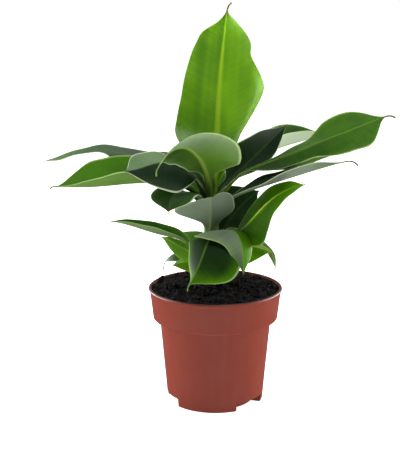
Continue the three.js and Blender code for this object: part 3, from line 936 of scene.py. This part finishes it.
LEAVES = (
    Leaf(
        "leaf_spear", (184, 30), 8, 160, whisker=9, rib=4.4, tint=Tint.YOUNG,
        fresh=(0.2, 0.28, 0.42, 0.46, 0.42, 0.5), bloom=0.0,
        heading=(60, 85, 80, 78, 75, 68, 62), climb=(84, 80, 76, 74, 72, 74, 78),
        left=Half(
            (9, 12, 16, 24, 33, 37, 36.5, 35.5, 34, 33, 32, 30.5, 28.5, 25.5, 21, 7, 0),
            (60, 35, 8, 5, 5, 5, 10), 20, painted_half_light=-0.2,
        ),
        right=Half(
            (9, 12, 15, 19, 25, 29, 35, 40, 43, 43.5, 39, 33, 27.5, 27, 21, 11, 0),
            (60, 35, 15, 10, 5, 5, 10), 20,
            (0, 40, 60, 50, 20, 0, 0, 0), 0.8,
        ),
    ),
    Leaf(
        "leaf_hood", (183, 250), 26, 87, whisker=8, stalk_half=3.4, rib=3.0,
        fresh=(0.9, 0.8, 0.6, 0.5, 0.5), painted_rim_light=0.2, dry_tip=0.2,
        bloom=(0.0, 0.05, 0.3, 0.5, 0.5), bloom_rim=0.15,
        heading=(262, 249, 243, 238, 231, 224), climb=(80, 64, 42, 22, -12, -52),
        left=Half((7, 28, 36, 40, 41, 39, 35, 29, 22, 13, 0), (20, 5, 14, 25, 35, 35), -12),
        right=Half(
            (4, 15, 17, 17, 14, 0), (-20, -60, -70, -65, -45), -50,
            painted_half_light=-0.3, wax_and_sheen_shift=-0.5,
        ),
    ),
    # Its right half carries painted light and painted sheen.
    Leaf(
        "leaf_front_left", (180, 200), 26, 87, stalk_half=4, tint=Tint.DEEP,
        fresh=0.1, bloom=0.1,
        heading=(200, 215, 225, 228, 225, 225), climb=(68, 57, 30, 6, -8, 2),
        left=Half((6, 22, 28, 26, 15, 0), (-10, -50, -60, -60, -50), -20),
        right=Half((6, 20, 20, 18, 14, 0), (10, 20, 22, 30, 30), 10, painted_half_light=0.9, wax_and_sheen_shift=0.4),
    ),
    Leaf(
        "leaf_far_left", (184, 140), 40, 156, tint=Tint.DEEP,
        fresh=(0.1, 0.2, 0.5, 0.8), bloom=(0.0, 0.0, 0.2, 0.5), painted_sheen=(0.0, 0.0, 0.1, 0.4),
        heading=(125, 148, 150, 155, 162, 170), climb=(60, 23, -2, 6, -16, -14),
        left=Half(
            (5, 18, 22, 20, 12, 11, 9, 7, 0), (-30, -50, -50, -35, -5, -5, -10, -12, 0), -10
        ),
        right=Half((5, 18, 20, 17, 13, 9, 0), (10, 5, 5, 12, 12, 12), 10),
    ),
    Leaf(
        "leaf_low_left", (176, 164), 24, 117, whisker=8,
        fresh=(0.4, 0.65, 0.8, 1.0), bloom=0.12,
        heading=(186, 184, 182, 182, 183, 180), climb=(66, 20, 2, -6, -2, 4),
        left=Half((5, 20, 23, 19, 10, 0), (20, 35, 38, 30), 10),
        right=Half((5, 18, 25, 28, 29, 29, 26, 15, 0), (40, 50, 50, 48, 45), 10),
    ),
    Leaf(
        "leaf_round_left", (170, 212), 16, 48, tint=Tint.DEEP,
        fresh=0.5, bloom=0.0,
        heading=(206, 206, 212, 222, 238, 255), climb=(66, 54, 34, 4, -46, -78),
        left=Half((5, 19, 24, 24, 19, 0), 0.0, -20),
        right=Half((5, 19, 24, 24, 19, 0), 0.0, -20),
    ),
    Leaf(
        "leaf_big_right", (172, -16), 40, 136, whisker=10,
        fresh=(0.25, 0.35, 0.5, 0.6), bloom=0.0,
        heading=(350, 353, 357, 358, 358, 358, 358), climb=(76, 50, 23, 22, 22, 22, 23),
        left=Half(
            (3, 9, 14, 17, 20, 27, 27, 18, 0), (20, -5, 0, 5, 10, 24, 30, 28, 20), 10
        ),
        right=Half(
            (3, 9, 18, 25, 27, 25, 23, 21, 0), (20, -20, -45, -50, -50, -48, -45, -42, -40), 0.0,
            (0, 20, 60, 90, 90, 50, 10, 0, 0), 0.65,
        ),
    ),
    # Painted shade: this leaf stands in shade, and its low freshness and darker tint paint it in.
    Leaf(
        "leaf_dark_right", (182, 30), 22, 76, tint=Tint.DEEP,
        fresh=0.1, bloom=0.0,
        heading=(30, 30, 26, 25, 25, 25), climb=(66, 40, 36, 40, 40, 36),
        left=Half((4, 20, 20, 17, 12, 0), (20, 50, 40, 10)),
        right=Half((4, 8, 12, 12, 7, 0), (-20, -50, -60, -60), -10),
    ),
    Leaf(
        "leaf_back_right", (182, 80), 40, 112, fresh=0.3, bloom=0.9,
        heading=(76, 52, 36, 28, 24, 24), climb=(60, 32, 10, 12, 10, 8),
        left=Half((4, 9, 14, 28, 31, 19, 0), (30, 20, 20, 30, 30), 10),
        right=Half((4, 8, 11, 13, 12, 8, 0), (20, 30, 60, 75, 70), 10),
    ),
    Leaf(
        "leaf_narrow_right", (168, -38), 28, 105, whisker=14, tint=Tint.DEEP,
        fresh=(0.0, 0.0, 0.3, 1.0), bloom=(0.3, 0.5, 0.5, 0.1),
        heading=(334, 332, 336, 340, 343, 345), climb=(66, 32, 21, 20, 19, 18),
        left=Half((5, 14, 14, 12, 8, 0), (30, 30, 20), 10),
        right=Half((5, 13, 16, 14, 9, 0), (8, 5, 22, 42, 42), 20),
    ),
    Leaf(
        "leaf_bright_right", (140, -25), 20, 95, fresh=(0.5, 0.6, 0.7, 1.0), bloom=0.0, dry_tip=0.3,
        heading=(333, 328, 322, 321, 322, 324), climb=(34, 41, 47, 42, 28, 15),
        left=Half((4, 14, 17, 14, 9, 0), (40, 50, 50), 10),
        right=Half(
            (3, 19, 29, 24, 14, 10, 6, 0), (-40, -66, -78, -72, -58, -48), 5,
            (0, 0, 25, 40, 25, 0, 0, 0), 0.75,
        ),
    ),
    Leaf(
        "leaf_inner_right", (150, 22), 12, 44, tint=Tint.DEEP, fresh=0.3, bloom=0.0,
        heading=(18, 15, 12, 10, 8, 8), climb=(50, 52, 50, 45, 40, 35),
        left=Half((6, 24, 26, 22, 12, 0), (50, 60, 60), 10),
        right=Half((6, 22, 24, 18, 10, 0), (-20, -40, -40), 10),
    ),
    Leaf(
        "leaf_front_fold", (153, 265), 13, 42, tint=Tint.DEEP, fresh=0.4, bloom=0.5,
        heading=(280, 275, 270, 268, 272, 280), climb=(56, 58, 60, 55, 40, 15),
        left=Half((8, 21, 22, 20, 12, 0), (25, 30, 30)),
        right=Half((8, 30, 32, 24, 12, 0), (12, 0, -8)),
    ),
    Leaf(
        "leaf_droop_right", (136, 38), 42, 44, fresh=0.5, bloom=0.1,
        heading=(28, 30, 30, 28, 22, 15), climb=(32, 16, 0, -35, -65, -85),
        left=Half((5, 11, 11, 8, 0), -10.0),
        right=Half((5, 11, 11, 8, 0), -10.0),
    ),
    Leaf(
        "leaf_front_arch", (139, 300), 14, 72, fresh=0.4, painted_rim_light=0.4, painted_sheen=(0.35, 0.55, 0.4, 0.2),
        heading=(302, 306, 301, 295, 280, 270), climb=(42, 54, 15, -35, -65, -85),
        left=Half((5, 15, 16, 11, 0), (0, -30, -40), -30, painted_half_light=0.4, wax_and_sheen_shift=-0.6),
        right=Half((8, 33, 31, 16, 9, 0), (5, -4, -10, -20), -22),
    ),
    Leaf(
        "leaf_small_right", (132, 340), 15, 42, tint=Tint.YOUNG, fresh=0.3,
        heading=(340, 345, 340, 330, 325, 325), climb=(30, 30, 18, 4, -6, -10),
        left=Half((5, 11, 10, 6, 0), 0.0),
        right=Half((5, 17, 17, 10, 0), (-30, -55, -60)),
    ),
    # Painted shadow: the low freshness over most of the blade stands for the shade of
    # leaf_front_arch above it, and its strong margin light is painted as well.
    Leaf(
        "leaf_front_bottom", (130, 278), 13, 84, whisker=6,
        fresh=(0.0, 0.0, 0.0, 0.1, 0.8), painted_rim_light=0.6, bloom=0.0, dry_tip=0.2,
        heading=(290, 274, 260, 248, 238, 222), climb=(74, 58, 8, -38, -50, -46),
        left=Half((8, 24, 30, 34, 29, 0), (-20, -20, -25, -38, -45), -20),
        right=Half((8, 20, 21, 18, 12, 0), -20.0, -20),
    ),
    Leaf(
        "leaf_slender_left", (126, 168), 20, 77, fresh=0.55, bloom=0.3,
        heading=(168, 174, 182, 187, 190, 190), climb=(50, 45, 12, 18, 18, 8),
        left=Half((4, 11, 12, 10, 6, 0), (20, 34, 34)),
        right=Half((4, 13, 13, 11, 6, 0), (20, 35, 35)),
    ),
    Leaf(
        "leaf_small_left", (120, 212), 12, 42, tint=Tint.YOUNG, fresh=0.5,
        heading=(190, 198, 200, 200, 200, 202), climb=(64, 52, 38, 30, 34, 24),
        left=Half((4, 12, 13, 9, 0), -40.0),
        right=Half((4, 10, 10, 7, 0), 25.0),
    ),
    Leaf(
        "leaf_dark_tip_left", (122, 150), 12, 36, whisker=8, tint=Tint.DEEP,
        fresh=0.5, bloom=0.2,
        heading=(175, 166, 160, 158, 154, 145), climb=(48, 32, 14, -8, -38, -60),
        left=Half((4, 9, 10, 7, 0), -40.0),
        right=Half((4, 9, 9, 6, 0), 0.0),
    ),
    Leaf(
        "leaf_bottom_left", (115, 228), 12, 29, tint=Tint.YOUNG, fresh=0.4,
        heading=(212, 210, 208, 204, 207, 215), climb=(68, 54, 34, 8, -12, -5),
        left=Half((4, 14, 13, 8, 0), -40.0),
        right=Half((4, 10, 9, 6, 0), 0.0),
    ),
    Leaf(
        "leaf_back_middle", (162, 100), 25, 100, fresh=0.4, bloom=0.1,
        heading=(95, 100, 100, 95, 90, 90), climb=(60, 45, 30, 15, 0, -20),
        left=Half((5, 22, 26, 22, 12, 0), 10.0),
        right=Half((5, 22, 26, 22, 12, 0), 10.0),
    ),
    Leaf(
        "leaf_back_low", (132, 70), 20, 75, fresh=0.5, bloom=0.1,
        heading=(65, 60, 60, 65, 70, 70), climb=(50, 35, 20, 5, -10, -25),
        left=Half((4, 17, 18, 14, 8, 0), 10.0),
        right=Half((4, 17, 18, 14, 8, 0), 10.0),
    ),
    Leaf(
        "leaf_back_small", (122, 112), 16, 58, fresh=0.7, bloom=0.1,
        heading=(120, 125, 128, 130, 132, 135), climb=(55, 40, 20, 0, -20, -40),
        left=Half((4, 14, 15, 11, 6, 0), 10.0),
        right=Half((4, 14, 15, 11, 6, 0), 10.0),
    ),
)


@dataclass
class Midrib:
    """A leaf's midrib: where it is, and which way it faces, at a distance from its foot."""

    leaf: Leaf
    stem: FalseStem
    foot_inset: float = 1.2
    whisker_curl: float = -50.0
    steps: int = 120
    points: list[Vector] = field(default_factory=list)

    def __post_init__(self) -> None:
        """Walks the midrib from its foot to its tip."""
        z, bearing = self.leaf.foot
        foot = polar(self.stem.radius(z) - self.foot_inset, bearing, z)
        self.points = [foot + Vector((self.stem.x, 0, 0))]
        stride = self.leaf.length / self.steps
        for i in range(self.steps):
            forward = self.facing((i + 0.5) * stride)[0]
            self.points.append(self.points[i] + forward * stride)

    def facing(self, distance: float) -> tuple[Vector, Vector, Vector]:
        """Forward, left and up at a distance from the foot."""
        share = distance / self.leaf.body
        past = max(0.0, distance - self.leaf.body) / (self.leaf.whisker or 1)
        heading = math.radians(along(self.leaf.heading, share) + past * self.whisker_curl)
        climb = math.radians(along(self.leaf.climb, share) + past * self.whisker_curl)
        forward = polar(math.cos(climb), math.degrees(heading), math.sin(climb))
        left = Vector((-math.sin(heading), math.cos(heading), 0))
        return forward, left, forward.cross(left)

    def at(self, distance: float) -> Vector:
        """The midrib's point at a distance from the foot."""
        place = clamp(distance / self.leaf.length) * self.steps
        i = min(math.floor(place), self.steps - 1)
        return self.points[i].lerp(self.points[i + 1], place - i)


@dataclass
class LeafShape:
    """What all leaves share: the stalk's channel, the sheath, the blade's thickness."""

    stalk_lift: float = 48.0
    tip_half_width: float = 0.5
    inmost_share: float = 0.4
    fold_softness: float = 0.24
    walk: int = 24
    stalk_sheet: float = 1.2
    blade_sheet: float = 0.45
    rib_depth: float = 1.5
    groove: float = 0.35
    whisker_sheet: float = 0.5
    whisker_root: float = 8.0
    sheath: float = 20.0
    sheath_spread: float = 115.0
    sheath_top_spread: float = 30.0
    sheath_climb: float = 0.7
    sheath_sunk: float = 0.5
    sheath_proud: float = 0.75
    sheath_layer: float = 0.08
    sheath_sheet: float = 0.9
    sheath_merge: float = 9.0
    columns: int = 32
    row_length: float = 1.8
    crowding: float = 1.5
    ripple: float = 0.35
    ripple_length: float = 31.0
    ripple_shift: float = 2.4
    ripple_stalk: float = 0.7
    ripple_opens: float = 20.0
    ripple_closes: float = 25.0
    tip_browning: float = 5.0

    def section(self, leaf: Leaf, half: Half, distance: float) -> list[Vector]:
        """Places across a half, at even shares of its width.

        Args:
            leaf: The leaf.
            half: The half of it.
            distance: How far from the leaf's foot.

        Returns:
            For each place: how far out, how far up, and the slope there in radians.
        """
        t = (distance - leaf.stalk) / leaf.blade
        opened = ease(0, leaf.stalk, distance)
        spread = mix(leaf.stalk_half, along(half.width, t), opened)
        stride = max(self.tip_half_width, spread) / self.walk
        lift = mix(self.stalk_lift, along(half.lift, t), opened)
        cup, fold = along(half.cup, t) * opened, along(half.fold, t) * opened
        soft = self.fold_softness / 2
        places = [Vector((0.0, 0.0, math.radians(lift - cup / 2)))]
        for i in range(self.walk):
            share = (i + 0.5) / self.walk
            folded = ease(half.fold_at - soft, half.fold_at + soft, share)
            angle = math.radians(lift + cup * (share - 0.5) + fold * folded)
            last = places[-1]
            out = last.x + stride * math.cos(angle)
            places.append(Vector((out, last.y + stride * math.sin(angle), angle)))
        return places


@dataclass
class LeafPiece:
    """One leaf as a closed body: sheath, grooved stalk, blade and tip."""

    leaf: Leaf
    stem: FalseStem
    shape: LeafShape
    layer: int

    def __post_init__(self) -> None:
        """Works out the midrib, and a number of its own that varies the ripples."""
        self.midrib = Midrib(self.leaf, self.stem)
        self.phase = self.layer * self.shape.ripple_shift
        self.rows: dict[float, tuple[list[Vector], list[Vector]]] = {}

    def row(self, distance: float) -> tuple[list[Vector], list[Vector]]:
        """The left and the right section at a distance from the foot."""
        reach = max(distance, 0.0)
        left = self.shape.section(self.leaf, self.leaf.left, reach)
        return left, self.shape.section(self.leaf, self.leaf.right, reach)

    def ripple(self, share: float, distance: float, side: int) -> float:
        """How far the margin waves up or down."""
        shape, leaf = self.shape, self.leaf
        opened = ease(leaf.stalk * shape.ripple_stalk, leaf.stalk + shape.ripple_opens, distance)
        closed = 1 - ease(leaf.body - shape.ripple_closes, leaf.body, distance)
        wave = math.sin(distance / shape.ripple_length * 2 * math.pi + self.phase * side)
        return shape.ripple * wave * share * share * opened * closed

    def rib(self, across: float, distance: float) -> float:
        """How high the round midrib stands at a distance across and along, from 0 to 1."""
        taper = 1 - clamp(distance / self.leaf.body)
        return math.sqrt(max(0.0, 1 - (across / mix(0.5, self.leaf.rib, taper)) ** 2))

    def on_leaf(self, side: int, share: float, distance: float, below: float) -> Vector:
        """A point of the stalk or the blade.

        Args:
            side: 1 for the left half and -1 for the right.
            share: How far across the half, from the midrib.
            distance: How far from the foot.
            below: 0 on the upper side and 1 on the under side.

        Returns:
            The point.
        """
        shape, leaf = self.shape, self.leaf
        places = self.rows[distance][0 if side > 0 else 1]
        i = min(math.floor(share * shape.walk), shape.walk - 1)
        out, rise, angle = places[i].lerp(places[i + 1], share * shape.walk - i)
        forward, left, up = self.midrib.facing(distance)
        opened = ease(0, leaf.stalk, distance)
        taper = 1 - clamp(distance / leaf.body)
        sheet = mix(shape.stalk_sheet, shape.blade_sheet, opened)
        if leaf.whisker:
            thinning = ease(leaf.body - shape.whisker_root, leaf.body, distance)
            sheet += shape.whisker_sheet * thinning
        rib = self.rib(share * places[-1].xy.length, distance)
        rise += self.ripple(share, distance, side)
        ridge, channel = shape.rib_depth * taper * rib, shape.groove * taper * rib
        depth = mix(channel, sheet + ridge, below)
        out = max(out * shape.inmost_share, out + depth * math.sin(angle))
        rise -= depth * math.cos(angle)
        return self.midrib.at(distance) + left * side * out + up * rise

    def on_sheath(self, turn: float, distance: float, below: float) -> Vector:
        """A point of the sheath that clasps the stem below the stalk."""
        shape = self.shape
        z, bearing = self.leaf.foot
        share = clamp(1 + distance / shape.sheath)
        spread = mix(shape.sheath_spread, shape.sheath_top_spread, ease(0.0, 1.0, share))
        level = z + min(distance, 0.0) + max(distance, 0.0) * shape.sheath_climb
        outermost = shape.sheath_proud + shape.sheath_layer * (self.layer % 5)
        proud = mix(-shape.sheath_sunk, outermost, ease(0.0, 0.5, share))
        radius = self.stem.radius(level) + proud - (1 - below) * shape.sheath_sheet
        point = polar(radius, bearing + turn * spread, level)
        return point + Vector((self.stem.x, 0, 0))

    def point(self, corner: Vector, distance: float) -> tuple[Vector, float, int]:
        """The place of a slab's corner, its share across its half and its side."""
        share = abs(corner.x) ** self.shape.crowding
        side = 1 if corner.x < 0 else -1
        below = 1.0 - corner.z
        merged = ease(0.0, self.shape.sheath_merge, distance)
        place = self.on_leaf(side, share, max(distance, 0.0), below)
        if merged < 1:
            wrapped = self.on_sheath(side * share, distance, below)
            place = wrapped.lerp(place, merged)
        return place, share, side

    def build(self, finishes: Sequence[Finish]) -> Piece:
        """Makes the leaf.

        Args:
            finishes: The finishes of its upper side and its under side.

        Returns:
            The leaf's piece.
        """
        leaf, shape = self.leaf, self.shape
        span = leaf.length + shape.sheath
        rows = round(span / shape.row_length)
        bm = slab(shape.columns, rows)
        vectors = bm.verts.layers.float_vector
        place_layer, tone_layer, finish_layer = map(vectors.new, ("place", "tone", "finish"))
        for face in bm.faces:
            face.material_index = 0 if face.calc_center_median().z > 0.25 else 1
        steps = {round((c.co.y + 1) / 2 * rows) for c in bm.verts}
        distances = {i: i / rows * span - shape.sheath for i in steps}
        self.rows = {max(d, 0.0): self.row(d) for d in distances.values()}
        for corner in bm.verts:
            distance = distances[round((corner.co.y + 1) / 2 * rows)]
            place, share, side = self.point(corner.co.copy(), distance)
            reach = max(distance, 0.0)
            width = self.rows[reach][0 if side > 0 else 1][-1].xy.length
            corner[place_layer] = (side * share * width, distance, share)
            corner[tone_layer] = self.tone(share, distance, side)
            corner[finish_layer] = self.finish(share, share * width, distance, side)
            corner.co = place
        bmesh.ops.recalc_face_normals(bm, faces=bm.faces[:])
        soften(bm, 60.0)
        piece = mesh_object(leaf.node + "_blade", bm)
        return hand_over(piece, finishes, [leaf.node])

    def half(self, side: int) -> Half:
        """The half on a side."""
        return self.leaf.left if side > 0 else self.leaf.right

    def tone(self, share: float, distance: float, side: int) -> Vector:
        """How fresh, how stalk-like and how browned the leaf is at a place; the freshness carries
        painted margin light and each half's painted light and shade too.
        """
        leaf = self.leaf
        t = leaf.blade_share(distance)
        stalky = 1 - ease(0.0, leaf.stalk + 4, distance)
        browned = leaf.dry_tip * ease(leaf.body - self.shape.tip_browning, leaf.body + 1, distance)
        fresh = along(leaf.fresh, t) + along(self.half(side).painted_half_light, t)
        return Vector((clamp(fresh + leaf.painted_rim_light * ease(0.5, 1.0, share)), stalky, browned))

    def finish(self, share: float, across: float, distance: float, side: int) -> Vector:
        """How much of the midrib, of the waxy bloom on the under side and of the painted sheen on
        the upper side there is at a place.
        """
        t = self.leaf.blade_share(distance)
        wax_and_sheen_shift = along(self.half(side).wax_and_sheen_shift, t)
        bloom = along(self.leaf.bloom, t) + self.leaf.bloom_rim * ease(0.2, 1.0, share) + wax_and_sheen_shift
        # Painted sheen for the upper side.
        painted_sheen = along(self.leaf.painted_sheen, t) + wax_and_sheen_shift
        return Vector((self.rib(across, distance), clamp(bloom), clamp(painted_sheen)))


# ---- studio


@dataclass
class Studio:
    """White sweep and floor, soft light and the camera. Sizes are in metres, powers in watts."""

    floor_size: float = 6.0
    sweep_radius: float = 9.0
    ambient: float = 0.10
    floor_glow: float = 0.93
    target: Vector = field(default_factory=lambda: Vector((0.0, 0.0, 0.2)))
    boxes: tuple[tuple[str, Triple, float, float], ...] = (
        ("top_box", (0.0, -0.10, 1.5), 1.1, 20.0),
        ("back_box", (0.0, 1.2, 1.2), 1.1, 5.0),
        ("left_box", (-1.1, 0.30, 0.4), 1.0, 22.0),
        ("right_box", (1.1, 0.30, 0.4), 1.0, 21.0),
        ("left_edge_box", (-0.9, 0.8, 0.2), 0.5, 10.0),
        ("right_edge_box", (0.9, 0.8, 0.2), 0.5, 9.5),
    )
    lens: float = 88.0
    sensor: float = 36.0
    viewpoint: Triple = (0.0, -0.9535, 0.3757)
    look_down: float = 12.71
    look_left: float = 0.83

    def floor(self) -> None:
        """Lays the floor."""
        bm = bmesh.new()
        bmesh.ops.create_grid(bm, x_segments=1, y_segments=1, size=self.floor_size / 2 / MM)
        floor = mesh_object("studio_floor", bm)
        floor.data.materials.append(StudioPaper(glow=self.floor_glow).material("studio_paper"))
        floor.visible_glossy = False

    def sweep(self) -> None:
        """Sets up the white sweep, which the camera sees but which casts no light."""
        bm = bmesh.new()
        bmesh.ops.create_icosphere(bm, subdivisions=4, radius=self.sweep_radius / MM)
        sweep = mesh_object("studio_sweep", bm)
        sweep.data.materials.append(StudioPaper(glow=1.0).material("studio_sweep_paper"))
        sweep.visible_diffuse = sweep.visible_glossy = sweep.visible_transmission = False
        sweep.visible_volume_scatter = sweep.visible_shadow = False

    def lamp(self, name: str, place: Triple, size: float, power: float) -> None:
        """Hangs one square soft box that faces the plant."""
        light = bpy.data.lights.new(name, "AREA")
        light.shape = "SQUARE"
        light.size = size
        light.energy = power
        lamp = in_scene(name, light)
        lamp.location = place
        turn = (self.target - lamp.location).to_track_quat("-Z", "Y")
        lamp.rotation_euler = turn.to_euler()

    def sky(self) -> None:
        """Lights everything faintly from all round."""
        world = bpy.data.worlds.new("studio_sky")
        world.use_nodes = True
        shade = world.node_tree.nodes["Background"]
        shade.inputs["Color"].default_value = (1.0, 1.0, 1.0, 1.0)
        shade.inputs["Strength"].default_value = self.ambient
        bpy.context.scene.world = world

    def camera(self) -> None:
        """Sets up the camera in front of the plant, a little above it."""
        data = bpy.data.cameras.new("camera")
        data.lens = self.lens
        data.sensor_width = self.sensor
        camera = in_scene("camera", data)
        camera.location = self.viewpoint
        tilt, turn = math.radians(90 - self.look_down), math.radians(self.look_left)
        camera.rotation_euler = (tilt, 0.0, turn)
        bpy.context.scene.camera = camera

    def build(self) -> None:
        """Sets up floor, sweep, lights and camera."""
        self.floor()
        self.sweep()
        self.sky()
        for box in self.boxes:
            self.lamp(*box)
        self.camera()
        bpy.context.scene.view_settings.view_transform = "Standard"


def main() -> None:
    """Builds the plant and the studio, piece by piece."""
    logging.basicConfig(level=logging.INFO, format="%(name)s %(message)s")
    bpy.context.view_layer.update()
    pot = Pot()
    pot.build(Terracotta().material())
    soil_finish = PottingSoil().material()
    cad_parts["soil"].data.materials.clear()
    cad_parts["soil"].data.materials.append(soil_finish)
    SoilTop(pot).build(soil_finish)
    stem = FalseStem()
    stem.build(StemSkin().material())
    finishes = {tint: [side.material() for side in tint.value] for tint in Tint}
    shape = LeafShape()
    for layer, leaf in enumerate(LEAVES):
        LeafPiece(leaf, stem, shape, layer).build(finishes[leaf.tint])
    Studio().build()


if __name__ == "__main__":
    main()
